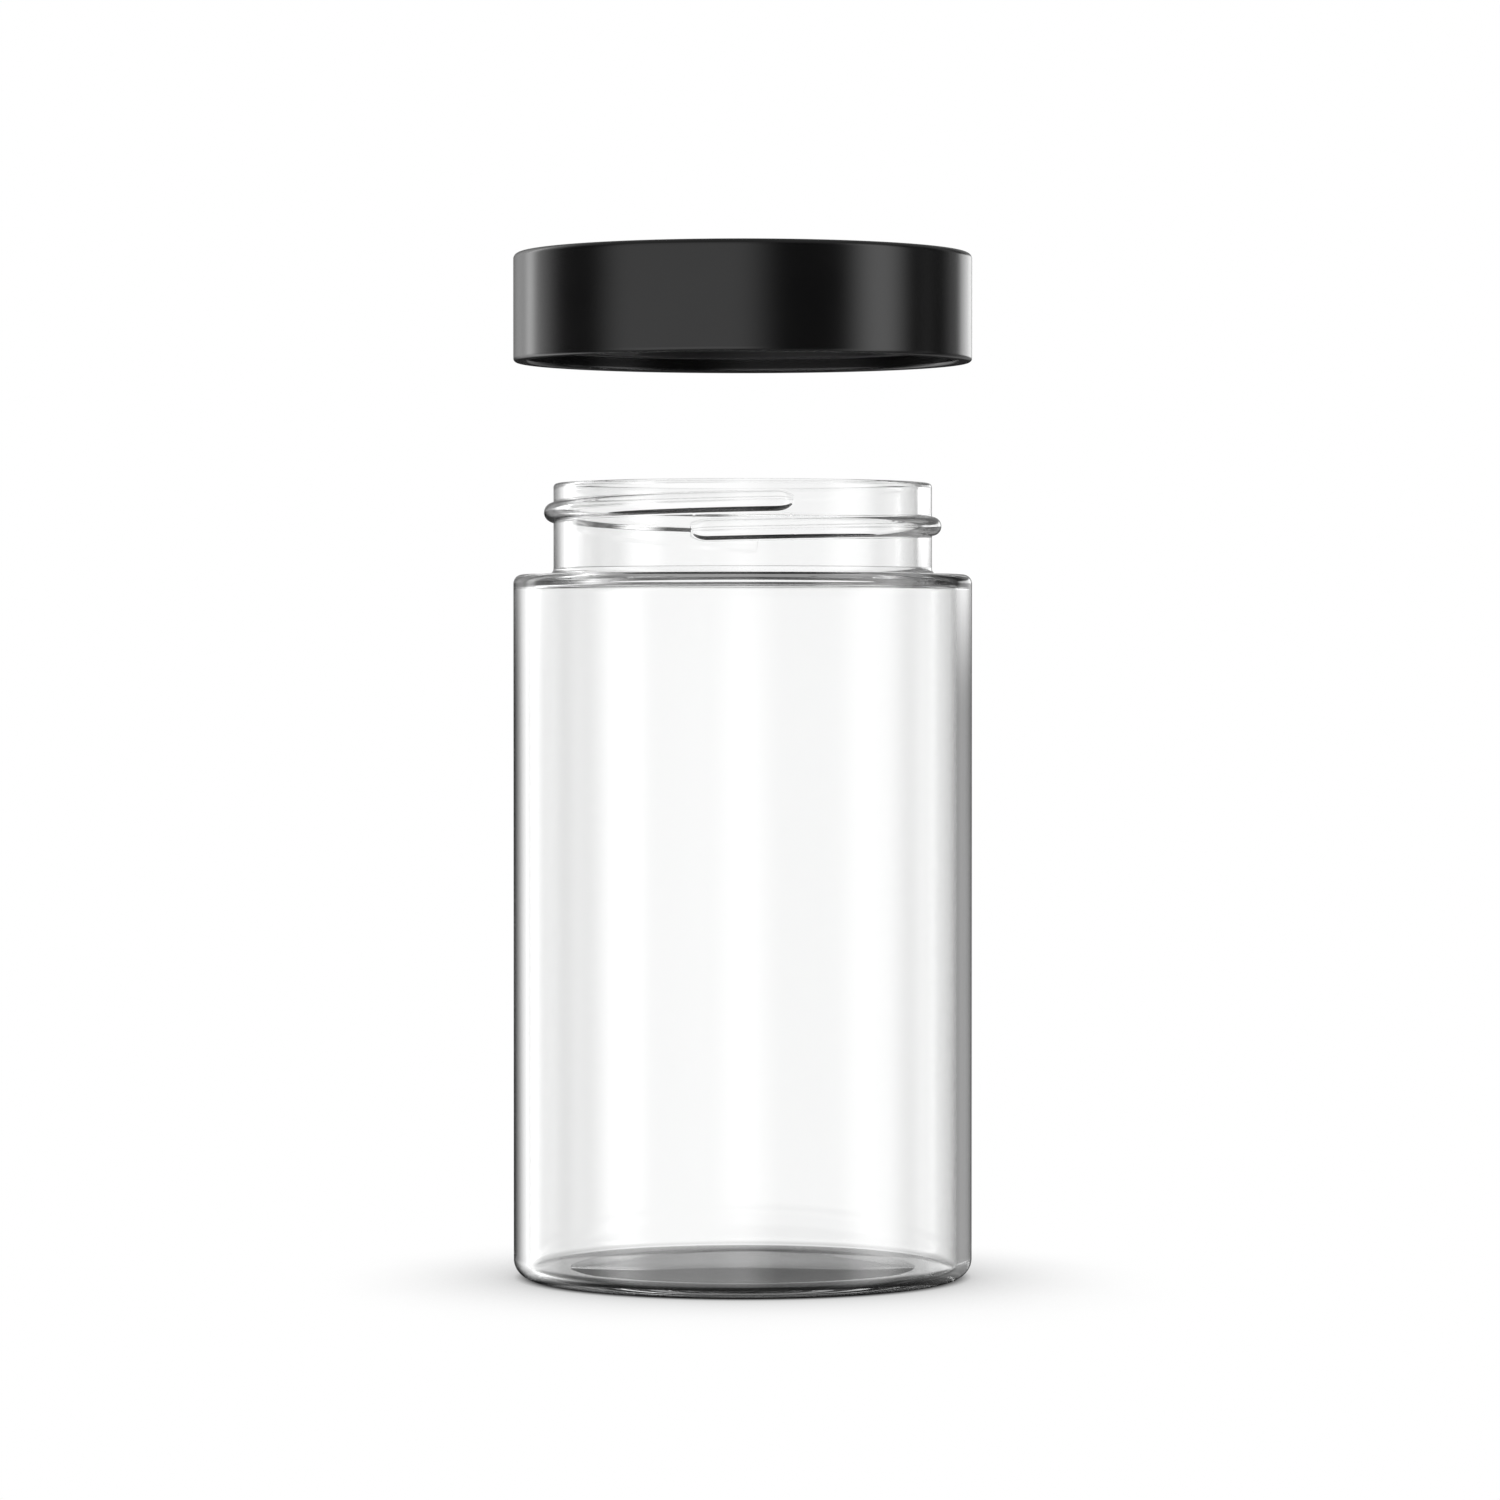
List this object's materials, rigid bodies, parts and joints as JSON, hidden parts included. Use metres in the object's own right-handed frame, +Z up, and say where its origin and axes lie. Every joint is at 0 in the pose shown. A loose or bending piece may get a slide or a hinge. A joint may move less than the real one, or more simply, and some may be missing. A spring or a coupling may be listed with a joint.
{
  "type": "specimen jar",
  "caption": "Straight-sided clear glass jar with a short wide screw neck and a flat black double-walled screw lid, lined with foam, hanging open above the mouth.",
  "frame": {"origin": "centre of the jar's base, on the plane that the bearing ring stands on", "axes": "+Z up along the jar's axis, through the mouth and the lid; -Y is the side where the two ends of the neck thread overlap"},
  "size_m": [0.072, 0.072, 0.1608],
  "materials": {
    "clear_glass": "clear flint glass, fire polished",
    "satin_black": "smooth satin black moulded polypropylene",
    "moulded_black": "plain black moulded polypropylene",
    "black_foam": "black closed-cell polyethylene foam",
    "black_film": "thin smooth black polyethylene facing"
  },
  "bodies": {
    "jar": {"glass_jar": "clear_glass"},
    "liner": {"liner_foam": "black_foam", "liner_facing": "black_film"},
    "lid": {"lid_shell": "satin_black", "inner_cap": "moulded_black"}
  },
  "joints": [
    {"name": "lid_lift", "type": "slide", "parent": "jar", "child": "liner", "axis": [0, 0, 1], "range_m": [-0.0323, 0]},
    {"name": "lid_turn", "type": "hinge", "parent": "liner", "child": "lid", "pos_m": [0, 0, 0.1437], "axis": [0, 0, 1], "range_deg": [-2746.8, 0]}
  ],
  "couplings": [
    {"joint": "lid_lift", "follows": "lid_turn", "m_per_rad": 0.00067376}
  ]
}
